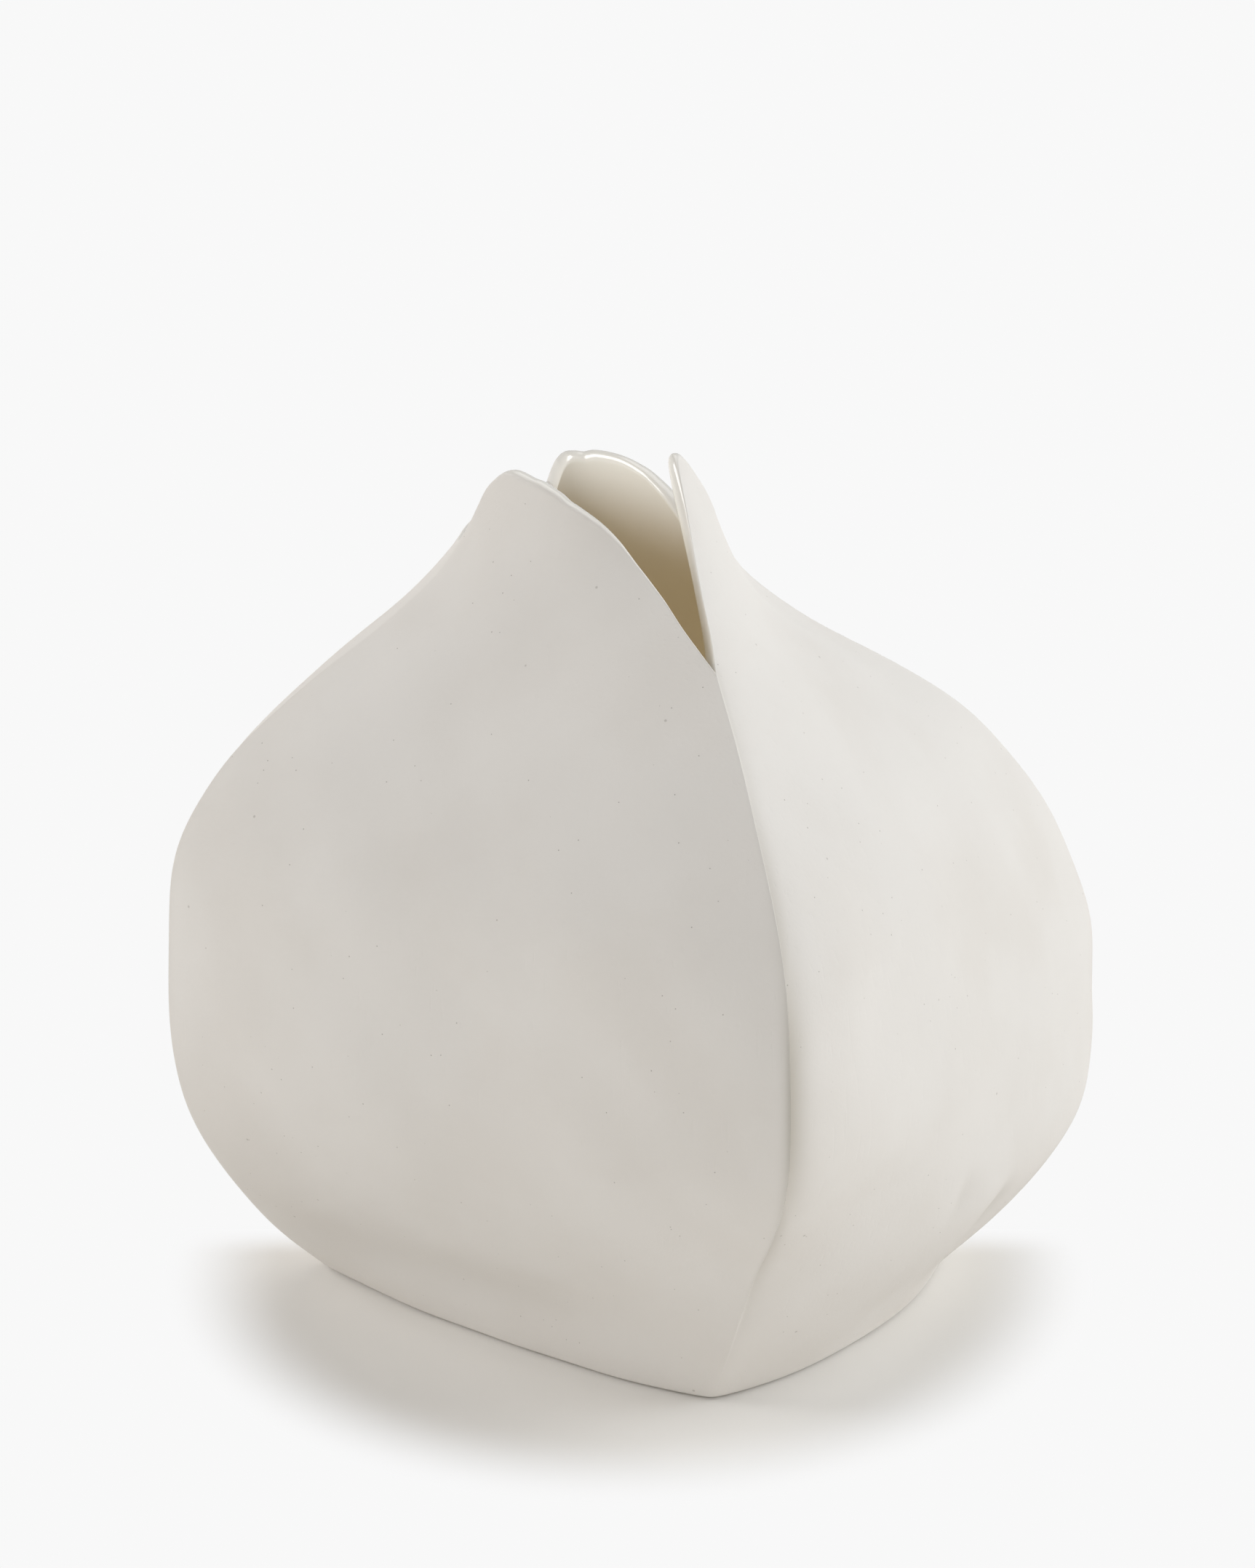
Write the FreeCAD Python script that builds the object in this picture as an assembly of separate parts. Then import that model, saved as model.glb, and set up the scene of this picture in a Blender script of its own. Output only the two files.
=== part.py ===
# A small porcelain pillow vase, slab built: four soft upright panels meet at four corner
# seams over a floor slab, and part above the seams into four petals round the mouth.
# Coils of clay are pressed into the seams and round the floor from inside.
# Millimetres, +Z up, origin on the table under the middle of the foot.
# The front panel faces -Y, the right panel +X, the rear panel +Y, the left panel -X.
import FreeCAD, Part
import math
import os

Vector = FreeCAD.Vector

# Sizes of the whole vase
BODY_HEIGHT = 180.0  # table to the tip of the tallest petal
BELLY_RADIUS = 100.0  # axis to a corner seam where the body is fullest
PANEL_CROWN = 20.0  # most that a panel swells out beyond the straight line between its seams
FOOT_TWIST_HEIGHT = 60.0  # below this level the corner seams swing round to the corners of the foot

# Sizes of the clay
WALL = 3.0  # thickness of the four panels
LIP_CROWN = 1.3  # rounded rim, above the square end of the wall
FLOOR_SLAB = 4.5  # thickness of the floor slab
JOINT_GAP = 0.2  # slip joint between a wall and what is pressed against it
SEAM_COIL_LEG = 9.0  # width of a corner coil along each of its two panels
BASE_COIL_LEG = 7.0  # height and width of a coil round the floor
BASE_COIL_EDGE = 0.6  # its thin upper edge, smoothed onto the wall
SEAM_COIL_STOP = 22.0  # a corner coil ends this far below the notch between two petals
DENT_DEPTH = 2.5  # the deepest of the soft hollows in the panels

# Levels up the body, as shares of its height
LEVEL_SHARES = [0, 0.055, 0.11, 0.165, 0.25, 0.333, 0.417, 0.5, 0.583, 0.667, 0.75, 0.833, 0.917, 1.0]

# Each corner seam: its bearing from the front, the swing of its foot, and its distance from
# the axis at those levels, as shares of the belly radius
SEAM_ANGLES = {"front_left": -45, "front_right": 45, "rear_right": 135, "rear_left": 227}
FOOT_SWING_ANGLES = {"front_left": -8, "front_right": -3, "rear_right": -10, "rear_left": -6}
SEAM_RADIUS_SHARES = {
    "front_left": [0.655, 0.745, 0.815, 0.875, 0.942, 0.968, 0.973, 0.963, 0.932, 0.832, 0.655, 0.447, 0.328, 0.295],
    "front_right": [0.695, 0.742, 0.785, 0.832, 0.93, 1.01, 1.03, 1.02, 0.98, 0.87, 0.73, 0.55, 0.385, 0.29],
    "rear_right": [0.70, 0.75, 0.88, 1.01, 1.055, 1.06, 1.01, 0.94, 0.83, 0.67, 0.43, 0.24, 0.185, 0.15],
    "rear_left": [0.66, 0.72, 0.80, 0.87, 0.95, 0.99, 0.99, 0.96, 0.90, 0.80, 0.665, 0.56, 0.515, 0.48],
}

# Each panel: its left and right seam as seen from outside, its bearing, its swelling at the
# same levels as shares of the crown, and how far its petal leans in over the mouth
PANEL_SEAMS = {
    "front": ("front_left", "front_right"),
    "right": ("front_right", "rear_right"),
    "rear": ("rear_right", "rear_left"),
    "left": ("rear_left", "front_left"),
}
PANEL_ANGLES = {"front": 0, "right": 90, "rear": 180, "left": 270}
SWELL_SHARES = {
    "front": [0.28, 0.31, 0.35, 0.40, 0.45, 0.50, 0.50, 0.475, 0.425, 0.375, 0.325, 0.275, 0.25, 0.225],
    "right": [0.60, 0.75, 0.88, 0.92, 0.75, 0.60, 0.50, 0.475, 0.425, 0.375, 0.325, 0.275, 0.25, 0.225],
    "rear": [0.25, 0.50, 0.75, 0.82, 0.78, 0.70, 0.60, 0.525, 0.45, 0.40, 0.35, 0.30, 0.275, 0.25],
    "left": [0.30, 0.35, 0.40, 0.45, 0.50, 0.50, 0.50, 0.475, 0.425, 0.35, 0.25, 0.175, 0.15, 0.15],
}
PETAL_LEANS = {"front": 0.0, "right": 5.0, "rear": 0.0, "left": 6.0}
PETAL_RISE = 25.0  # climb above the notches over which a petal reaches its full lean
SWELL_POWER_SHARE = 2.2  # how full a panel stays towards its seams
LEAN_POWER_SHARE = 1.5  # how late a petal starts to lean

# Places across a panel, from its left seam at -1 to its right seam at 1, and the height of
# the rim there, as shares of the body height
ACROSS_SHARES = [-1, -0.94, -0.85, -0.72, -0.55, -0.35, -0.12, 0.12, 0.35, 0.55, 0.72, 0.85, 0.94, 1]
RIM_SHARES = {
    "front": [0.896, 0.935, 0.958, 0.971, 0.973, 0.969, 0.963, 0.951, 0.938, 0.918, 0.890, 0.860, 0.838, 0.821],
    "right": [0.821, 0.838, 0.864, 0.897, 0.938, 0.971, 0.988, 0.982, 0.956, 0.931, 0.907, 0.883, 0.862, 0.846],
    "rear": [0.846, 0.846, 0.849, 0.856, 0.872, 0.889, 0.901, 0.908, 0.909, 0.907, 0.903, 0.896, 0.882, 0.858],
    "left": [0.858, 0.857, 0.858, 0.861, 0.866, 0.871, 0.875, 0.878, 0.880, 0.881, 0.882, 0.883, 0.888, 0.896],
}

# Soft hollows: panel, middle across it, middle up it, half width, half height, depth; the
# heights are shares of the body height and the depths shares of DENT_DEPTH. The last one swells
# out instead: a lobe low on the rear panel.
HOLLOW_SHARES = [
    ("front", -0.10, 0.085, 0.90, 0.055, 2.0),
    ("front", 0.20, 0.44, 0.50, 0.160, 1.3),
    ("front", -0.15, 0.74, 0.45, 0.085, 0.8),
    ("rear", 0.10, 0.45, 0.45, 0.160, 0.7),
    ("left", 0.00, 0.50, 0.40, 0.150, 0.7),
    ("rear", -0.76, 0.13, 0.28, 0.075, -3.2),
]

# Even rows of points: up a panel, up a corner coil, and over a rim or across one side of a slab or coil
PANEL_ROWS = 44
COIL_ROWS = 18
TURN_ROWS = 5
RISE_SHARES = [row / PANEL_ROWS for row in range(PANEL_ROWS + 1)]
COIL_RISE_SHARES = [row / COIL_ROWS for row in range(COIL_ROWS + 1)]
TURN_SHARES = [row / TURN_ROWS for row in range(TURN_ROWS + 1)]
COIL_HOLLOW_SHARE = 0.2  # how far a coil is thumbed in towards its corner
SLOPE_STEP_SHARE = 0.001  # step up the body for measuring its slope, as a share of the height


def smooth_value(stations, values, at):
    """Value at a station, on the natural cubic spline through the values at their stations."""
    curve = Part.BSplineCurve()
    curve.interpolate(Points=[Vector(value, place, 0) for value, place in zip(values, stations)], Parameters=stations)
    return curve.value(at).x


def bearing_vector(degrees):
    """Level unit vector at a bearing from the front (-Y) round towards the right (+X)."""
    angle = math.radians(degrees)
    return Vector(math.sin(angle), -math.cos(angle), 0)


def seam_radius(seam, height):
    return BELLY_RADIUS * smooth_value(LEVEL_SHARES, SEAM_RADIUS_SHARES[seam], height / BODY_HEIGHT)


def wall_slope(seam, height):
    """How fast the two panels beside a seam spread out as they rise."""
    step = SLOPE_STEP_SHARE * BODY_HEIGHT
    low = max(0, height - step)
    high = low + 2 * step
    return (seam_radius(seam, high) - seam_radius(seam, low)) / ((high - low) * math.sqrt(2))


def seam_point(seam, height, depth):
    """Point of a corner seam: on the outside at depth 0, and under a wall of that depth otherwise."""
    inset = depth * math.sqrt(2) * math.sqrt(1 + wall_slope(seam, height) ** 2)
    swing = FOOT_SWING_ANGLES[seam] * max(0, 1 - height / FOOT_TWIST_HEIGHT) ** 2
    point = bearing_vector(SEAM_ANGLES[seam] + swing) * (seam_radius(seam, height) - inset)
    point.z = height
    return point


def notch_height(seam):
    """Height where the two petals beside a seam part."""
    for panel, (left, right) in PANEL_SEAMS.items():
        if left == seam:
            return BODY_HEIGHT * RIM_SHARES[panel][0]


def hollow_depth(panel, across, height):
    """Depth of the soft hollows at a point of a panel: round bells that fade out at its seams."""
    depth = 0
    for name, middle, level, half_width, half_height, share in HOLLOW_SHARES:
        if name == panel:
            spread = ((across - middle) / half_width) ** 2 + ((height / BODY_HEIGHT - level) / half_height) ** 2
            depth += DENT_DEPTH * share * math.exp(-spread)
    return depth * (1 - across ** 4)


def panel_point(panel, across, height, depth):
    """Point of a panel: straight between its seams, plus its swelling, less its hollows and lean."""
    left, right = PANEL_SEAMS[panel]
    share = (across + 1) / 2
    chord = seam_point(left, height, depth) * (1 - share) + seam_point(right, height, depth) * share
    swell = PANEL_CROWN * smooth_value(LEVEL_SHARES, SWELL_SHARES[panel], height / BODY_HEIGHT)
    swell *= 1 - abs(across) ** SWELL_POWER_SHARE
    notch = notch_height(left) * (1 - share) + notch_height(right) * share
    lean = PETAL_LEANS[panel] * max(0, (height - notch) / PETAL_RISE) ** LEAN_POWER_SHARE
    outward = swell - lean - hollow_depth(panel, across, height)
    return chord + bearing_vector(PANEL_ANGLES[panel]) * outward


def rim_height(panel, index, depth):
    """Height of the wall's end at a place across: square to the wall, so lower inside a leaning one."""
    left, right = PANEL_SEAMS[panel]
    height = BODY_HEIGHT * RIM_SHARES[panel][index]
    share = (ACROSS_SHARES[index] + 1) / 2
    slope = wall_slope(left, height) * (1 - share) + wall_slope(right, height) * share
    return height + depth * slope / math.sqrt(1 + slope ** 2)


def spline_poles(points, places):
    """Poles, knots and multiplicities of the cubic through points at given parameters."""
    curve = Part.BSplineCurve()
    curve.interpolate(Points=points, Parameters=places)
    return curve.getPoles(), curve.getKnots(), curve.getMultiplicities()


def spline_face(grid, places, other_places):
    """Smooth face through a grid of points. Its edges depend only on the points along them."""
    rows = []
    for row in grid:
        poles, other_knots, other_mults = spline_poles(row, other_places)
        rows.append(poles)
    columns = []
    for column in zip(*rows):
        poles, knots, mults = spline_poles(list(column), places)
        columns.append(poles)
    net = [list(row) for row in zip(*columns)]
    surface = Part.BSplineSurface()
    surface.buildFromPolesMultsKnots(net, mults, other_mults, knots, other_knots, False, False, 3, 3)
    return surface.toShape()


def spline_edge(points, places):
    """Smooth edge through points, the same as the edge of a spline_face through them."""
    poles, knots, mults = spline_poles(points, places)
    curve = Part.BSplineCurve()
    curve.buildFromPolesMultsKnots(poles, mults, knots, False, 3)
    return curve.toShape()


def line_edge(start, end):
    return Part.LineSegment(start, end).toShape()


def strip(points, other_points, places):
    """Face of straight lines between two smooth edges."""
    return Part.makeRuledSurface(spline_edge(points, places), spline_edge(other_points, places))


def flat_face(edges):
    return Part.Face(Part.Wire(Part.__sortEdges__(edges)))


def closed_solid(faces):
    """Solid inside a closed set of faces."""
    shell = Part.makeShell(faces)
    shell.sewShape()
    shell = shell.Shells[0]
    solid = Part.makeSolid(shell)
    if solid.Volume < 0:
        solid.reverse()
    return solid


def panel_grid(panel, depth):
    """Grid of points over one side of a panel, each column from the foot up to the rim."""
    grid = []
    for index, across in enumerate(ACROSS_SHARES):
        top = rim_height(panel, index, depth)
        grid.append([panel_point(panel, across, rise * top, depth) for rise in RISE_SHARES])
    return grid


def lip_grid(outside, inside):
    """Half-oval over the wall's end, from the outer edge of the rim to the inner edge."""
    grid = []
    for outer, inner in zip(outside, inside):
        middle = (outer[-1] + inner[-1]) * 0.5
        reach = (outer[-1] - inner[-1]) * 0.5
        across_wall = Vector(reach).normalize()
        climb = (outer[-1] - outer[-2]).normalize()
        up = (climb - across_wall * climb.dot(across_wall)).normalize()
        row = []
        for turn in TURN_SHARES:
            row.append(middle + reach * math.cos(math.pi * turn) + up * (LIP_CROWN * math.sin(math.pi * turn)))
        row[0], row[-1] = outer[-1], inner[-1]
        grid.append(row)
    return grid


def make_panel(panel):
    """One panel with its petal: two smooth sides, a rounded rim, a flat foot and two mitred ends."""
    outside = panel_grid(panel, 0)
    inside = panel_grid(panel, WALL)
    lip = lip_grid(outside, inside)
    faces = [
        spline_face(outside, ACROSS_SHARES, RISE_SHARES),
        spline_face(inside, ACROSS_SHARES, RISE_SHARES),
        spline_face(lip, ACROSS_SHARES, TURN_SHARES),
        strip([row[0] for row in outside], [row[0] for row in inside], ACROSS_SHARES),
    ]
    for end in (0, -1):
        faces.append(strip(outside[end], inside[end], RISE_SHARES))
        faces.append(flat_face([spline_edge(lip[end], TURN_SHARES), line_edge(lip[end][0], lip[end][-1])]))
    return closed_solid(faces)


def make_floor_slab():
    """Flat slab whose edge follows the inner face of the walls all round."""
    faces = []
    rims = {0: [], -1: []}
    for panel in PANEL_SEAMS:
        rows = []
        for turn in TURN_SHARES:
            height = turn * FLOOR_SLAB
            rows.append([panel_point(panel, across, height, WALL + JOINT_GAP) for across in ACROSS_SHARES])
        faces.append(spline_face(rows, TURN_SHARES, ACROSS_SHARES))
        for end, edges in rims.items():
            edges.append(spline_edge(rows[end], ACROSS_SHARES))
    faces.extend(flat_face(edges) for edges in rims.values())
    return closed_solid(faces)


def wall_place(panel, seam, height, distance):
    """Place across a panel at a distance from one of its seams, measured inside the wall."""
    left, right = PANEL_SEAMS[panel]
    half_width = (seam_point(left, height, WALL) - seam_point(right, height, WALL)).Length / 2
    share = 1 - distance / half_width
    return share if seam == right else -share


def leg_row(panel, seam, height):
    """Points along one leg of a corner coil's section, from the seam out along the panel."""
    end = 1 if seam == PANEL_SEAMS[panel][1] else -1
    leg = wall_place(panel, seam, height, SEAM_COIL_LEG)
    return [panel_point(panel, end * (1 - turn) + leg * turn, height, WALL + JOINT_GAP) for turn in TURN_SHARES]


def thumbed_row(start, stop, corner):
    """Points from start to stop, pressed in towards a corner like clay under a thumb."""
    press = (corner - (start + stop) * 0.5) * COIL_HOLLOW_SHARE
    return [start * (1 - turn) + stop * turn + press * math.sin(math.pi * turn) for turn in TURN_SHARES]


def make_seam_coil(seam, left_panel, right_panel):
    """Coil pressed into a corner from inside, thumbed hollow, from the floor to below the notch."""
    bottom = FLOOR_SLAB + JOINT_GAP
    top = notch_height(seam) - SEAM_COIL_STOP
    left_rows = []
    right_rows = []
    hollow_rows = []
    for rise in COIL_RISE_SHARES:
        height = bottom + rise * (top - bottom)
        left_rows.append(leg_row(left_panel, seam, height))
        right_rows.append(leg_row(right_panel, seam, height))
        hollow_rows.append(thumbed_row(left_rows[-1][-1], right_rows[-1][-1], left_rows[-1][0]))
    grids = (left_rows, right_rows, hollow_rows)
    faces = [spline_face(grid, COIL_RISE_SHARES, TURN_SHARES) for grid in grids]
    for end in (0, -1):
        faces.append(flat_face([spline_edge(grid[end], TURN_SHARES) for grid in grids]))
    return closed_solid(faces)


def make_base_coil(panel):
    """Coil along the foot of a panel, on the floor slab, thumbed hollow, between two corner coils."""
    bottom = FLOOR_SLAB + JOINT_GAP
    reach = wall_place(panel, PANEL_SEAMS[panel][1], bottom, SEAM_COIL_LEG + JOINT_GAP)
    inward = bearing_vector(PANEL_ANGLES[panel]) * -1
    wall_rows = []
    hollow_rows = []
    for place in ACROSS_SHARES:
        wall_rows.append([
            panel_point(panel, place * reach, bottom + turn * BASE_COIL_LEG, WALL + JOINT_GAP) for turn in TURN_SHARES
        ])
        floor_leg = wall_rows[-1][0] + inward * BASE_COIL_LEG
        wall_leg = wall_rows[-1][-1] + inward * BASE_COIL_EDGE
        hollow_rows.append(thumbed_row(floor_leg, wall_leg, wall_rows[-1][0]))
    faces = [spline_face(grid, ACROSS_SHARES, TURN_SHARES) for grid in (wall_rows, hollow_rows)]
    for end in (0, -1):
        faces.append(strip([row[end] for row in wall_rows], [row[end] for row in hollow_rows], ACROSS_SHARES))
        faces.append(strip(wall_rows[end], hollow_rows[end], TURN_SHARES))
    return closed_solid(faces)


def make_parts():
    """Every piece of the vase under its own name."""
    parts = {"floor_slab": make_floor_slab()}
    for panel in PANEL_SEAMS:
        parts[panel + "_panel"] = make_panel(panel)
        parts[panel + "_base_coil"] = make_base_coil(panel)
    for left_panel, (_, seam) in PANEL_SEAMS.items():
        right_panel = next(name for name, seams in PANEL_SEAMS.items() if seams[0] == seam)
        parts[seam + "_seam_coil"] = make_seam_coil(seam, left_panel, right_panel)
    return parts


os.makedirs("parts", exist_ok=True)
for name, solid in make_parts().items():
    print(name, solid.ShapeType, "valid", solid.isValid(), "closed", solid.isClosed(), round(solid.Volume, 1))
    solid.exportStep("parts/" + name + ".step")
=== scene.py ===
"""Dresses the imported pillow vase: four slab-built porcelain panels, matt outside and glazed inside.

Lengths are metres and angles degrees, +Z up, with the origin on the table under the middle of the
foot. The front panel faces -Y, the right panel +X, the rear panel +Y and the left panel -X.
"""

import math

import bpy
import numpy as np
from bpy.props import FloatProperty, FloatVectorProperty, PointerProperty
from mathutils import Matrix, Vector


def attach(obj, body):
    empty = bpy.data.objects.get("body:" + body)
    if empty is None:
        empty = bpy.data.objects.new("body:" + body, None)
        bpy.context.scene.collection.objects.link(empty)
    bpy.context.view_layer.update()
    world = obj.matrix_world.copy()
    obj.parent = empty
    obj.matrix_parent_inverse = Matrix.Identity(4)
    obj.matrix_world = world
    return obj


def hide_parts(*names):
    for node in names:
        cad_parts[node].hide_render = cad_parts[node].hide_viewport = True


bl_info = {
    "name": "Pillow vase",
    "version": (1, 0, 0),
    "blender": (4, 5, 0),
    "location": "3D View > Sidebar > Vase",
    "description": "Slab-built porcelain vase of four petal panels, with its coils, floor and stage",
    "category": "Object",
}

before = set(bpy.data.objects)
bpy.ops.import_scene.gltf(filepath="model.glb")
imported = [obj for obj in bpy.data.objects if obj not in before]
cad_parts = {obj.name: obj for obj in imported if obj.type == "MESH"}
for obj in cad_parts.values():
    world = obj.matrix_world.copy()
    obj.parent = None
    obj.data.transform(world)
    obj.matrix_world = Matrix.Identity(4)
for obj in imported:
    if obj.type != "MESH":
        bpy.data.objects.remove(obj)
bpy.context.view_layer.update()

# Levels up the body, as shares of its height
LEVEL_SHARES = [0, 0.055, 0.11, 0.165, 0.25, 0.333, 0.417, 0.5, 0.583, 0.667, 0.75, 0.833, 0.917, 1.0]

# Each corner seam: its bearing from the front, the swing of its foot, and its distance from
# the axis at those levels, as shares of the belly radius
SEAM_ANGLES = {"front_left": -45, "front_right": 45, "rear_right": 135, "rear_left": 227}
FOOT_SWING_ANGLES = {"front_left": -8, "front_right": -3, "rear_right": -10, "rear_left": -6}
SEAM_RADIUS_SHARES = {
    "front_left": [
        0.655, 0.745, 0.815, 0.875, 0.942, 0.968, 0.973,
        0.963, 0.932, 0.832, 0.655, 0.447, 0.328, 0.295,
    ],
    "front_right": [
        0.695, 0.742, 0.785, 0.832, 0.93, 1.01, 1.03,
        1.02, 0.98, 0.87, 0.73, 0.55, 0.385, 0.29,
    ],
    "rear_right": [
        0.70, 0.75, 0.88, 1.01, 1.055, 1.06, 1.01,
        0.94, 0.83, 0.67, 0.43, 0.24, 0.185, 0.15,
    ],
    "rear_left": [
        0.66, 0.72, 0.80, 0.87, 0.95, 0.99, 0.99,
        0.96, 0.90, 0.80, 0.665, 0.56, 0.515, 0.48,
    ],
}

# Each panel: its left and right seam as seen from outside, its bearing, its swelling at the
# same levels as shares of the crown, and how far its petal leans in, as a share of the deepest lean
PANEL_SEAMS = {
    "front": ("front_left", "front_right"),
    "right": ("front_right", "rear_right"),
    "rear": ("rear_right", "rear_left"),
    "left": ("rear_left", "front_left"),
}
PANEL_ANGLES = {"front": 0, "right": 90, "rear": 180, "left": 270}
SWELL_SHARES = {
    "front": [0.28, 0.31, 0.35, 0.40, 0.45, 0.50, 0.50, 0.475, 0.425, 0.375, 0.325, 0.275, 0.25, 0.225],
    "right": [0.60, 0.75, 0.88, 0.92, 0.75, 0.60, 0.50, 0.475, 0.425, 0.375, 0.325, 0.275, 0.25, 0.225],
    "rear": [0.25, 0.50, 0.75, 0.82, 0.78, 0.70, 0.60, 0.525, 0.45, 0.40, 0.35, 0.30, 0.275, 0.25],
    "left": [0.30, 0.35, 0.40, 0.45, 0.50, 0.50, 0.50, 0.475, 0.425, 0.35, 0.25, 0.175, 0.15, 0.15],
}
LEAN_SHARES = {"front": 0, "right": 5 / 6, "rear": 0, "left": 1}
SWELL_POWER = 2.2  # how full a panel stays towards its seams
LEAN_POWER = 1.5  # how late a petal starts to lean
DIAGONAL = math.sqrt(2)  # a corner lies this many times as far out as the panels beside it
SLOPE_STEP_SHARE = 0.001  # rise over which a slope is measured, as a share of the body height

# Places across a panel, from its left seam at -1 to its right seam at 1, and the height of
# the rim there, as shares of the body height
ACROSS_SHARES = [-1, -0.94, -0.85, -0.72, -0.55, -0.35, -0.12, 0.12, 0.35, 0.55, 0.72, 0.85, 0.94, 1]
RIM_SHARES = {
    "front": [
        0.896, 0.935, 0.958, 0.971, 0.973, 0.969, 0.963,
        0.951, 0.938, 0.918, 0.890, 0.860, 0.838, 0.821,
    ],
    "right": [
        0.821, 0.838, 0.864, 0.897, 0.938, 0.971, 0.988,
        0.982, 0.956, 0.931, 0.907, 0.883, 0.862, 0.846,
    ],
    "rear": [
        0.846, 0.846, 0.849, 0.856, 0.872, 0.889, 0.901,
        0.908, 0.909, 0.907, 0.903, 0.896, 0.882, 0.858,
    ],
    "left": [
        0.858, 0.857, 0.858, 0.861, 0.866, 0.871, 0.875,
        0.878, 0.880, 0.881, 0.882, 0.883, 0.888, 0.896,
    ],
}

# Soft hollows: panel, middle across it, middle up it, half width, half height, depth; the
# heights are shares of the body height and the depths shares of the dent depth. The last one
# swells out instead: a lobe low on the rear panel.
HOLLOW_SHARES = [
    ("front", -0.10, 0.085, 0.90, 0.055, 2.0),
    ("front", 0.20, 0.44, 0.50, 0.160, 1.3),
    ("front", -0.15, 0.74, 0.45, 0.085, 0.8),
    ("rear", 0.10, 0.45, 0.45, 0.160, 0.7),
    ("left", 0.00, 0.50, 0.40, 0.150, 0.7),
    ("rear", -0.76, 0.13, 0.28, 0.075, -3.2),
]

# Folds beside the seams: seam, place beside it (to its right is positive), half width, middle
# up the body, half height, and rise above the skin. Places, widths and rises are shares of the
# wall, levels and half heights shares of the body height.
FOLD_SHARES = [
    ("front_right", 5.5, 1.6, 0.52, 0.10, 0.12),
    ("rear_right", -18.6, 0.8, 0.157, 0.024, -0.28),
    ("rear_right", -22.3, 0.8, 0.204, 0.027, -0.18),
    ("rear_right", -20.5, 1.1, 0.180, 0.030, 0.14),
    ("rear_right", 2.2, 1.8, 0.020, 0.032, -0.55),
    ("rear_right", -2.4, 1.2, 0.800, 0.080, -0.25),
    ("rear_left", 1.2, 0.9, 0.50, 0.20, -0.30),
    ("front_left", -1.3, 0.9, 0.45, 0.20, -0.25),
]

# Where one panel laps over the next, the lower one starts behind the upper one's edge and comes
# back out to its own skin: seam, side of the lower panel, middle up the body, half height, depth,
# in the same shares as the folds
LAP_SHARES = [
    ("front_right", 1, 0.43, 0.15, 1.20),
    ("front_right", 1, 0.64, 0.14, 0.45),
    ("front_right", 1, 0.22, 0.10, 0.40),
    ("rear_left", 1, 0.50, 0.25, 0.45),
    ("front_left", -1, 0.50, 0.25, 0.35),
]
LAP_DROP_SHARE = 0.10  # walls within which the lower panel drops behind the edge
LAP_REACH_SHARE = 1.3  # walls within which it comes back out

# Painted shade in the creases, laid into the clay's colour: seam, place beside it, middle up the
# body, half height, reach of the shade to the right, strength. Places and reaches are shares of the wall.
PAINTED_CREASE_SHADE_SHARES = [
    ("front_right", 0.15, 0.44, 0.13, 1.20, 0.86),
    ("front_right", 0.20, 0.60, 0.15, 0.70, 0.45),
    ("front_right", 0.20, 0.27, 0.11, 0.75, 0.45),
    ("front_right", 0.10, 0.76, 0.12, 0.40, 0.25),
    ("rear_right", -18.6, 0.157, 0.022, 0.70, 0.30),
    ("rear_right", -22.3, 0.204, 0.025, 0.60, 0.12),
    ("rear_left", 0.20, 0.50, 0.25, 0.80, 0.35),
    ("front_left", -0.20, 0.50, 0.25, 0.60, 0.30),
]
CREASE_LEFT_SHARE = 0.4  # reach of the shade to the left, as a share of its reach to the right

# How softly the two panels meet outside at each seam, on the body and at the foot, as shares of
# the seam round
SEAM_ROUND_SHARES = {
    "front_left": (1, 1),
    "front_right": (0.3, 1.4),
    "rear_right": (1, 1),
    "rear_left": (1, 1),
}

# Waves of the rims: panel, place across it, half width, rise in shares of the wall
RIM_WAVE_SHARES = [
    ("front", 0.80, 0.060, 0.16),
    ("front", 0.62, 0.070, -0.10),
    ("front", -0.30, 0.080, 0.08),
    ("front", 0.02, 0.060, -0.07),
    ("right", 0.45, 0.100, 0.08),
    ("rear", 0.66, 0.070, -0.16),
    ("rear", 0.84, 0.060, 0.12),
    ("rear", -0.10, 0.090, 0.06),
    ("left", -0.50, 0.120, 0.10),
    ("left", 0.30, 0.100, -0.08),
]

# Meshing: columns across a panel and rows up it, denser towards their ends by these shares
COLUMNS = 180
ROWS = 230
LIP_ROWS = 12
COLUMN_CROWD = 0.8
ROW_CROWD = 0.55
COIL_COLUMNS = 24
COIL_ROWS = 96
TINY_SHARE = 0.002  # step off a seam for measuring its two sides, as a share of a panel's half width
TINY_LENGTH = 1e-20  # keeps the normal of an empty face finite

HOLLOW_FADE_POWER = 4  # how late the hollows fade out towards the seams
LEVEL_FOOT_SHARE = 4  # foot rounds above the table within which the relief stays level
GLAZE_START_SHARE = 0.10  # of the turn over the rim, where the glaze starts
GLAZE_FADE_SHARE = 0.20  # of that turn, what the glaze takes to be full
# Painted light: of the turn over the rim, where the emission that stands in for daylight starts
GLOW_START_SHARE = 0.50  # of that turn, where the daylight in the clay starts

# The hand's unevenness: seed, number of waves, and their shortest and longest length
LUMP_SEED = 7
LUMP_WAVES = 14
LUMP_LENGTHS = (0.018, 0.055)

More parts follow.
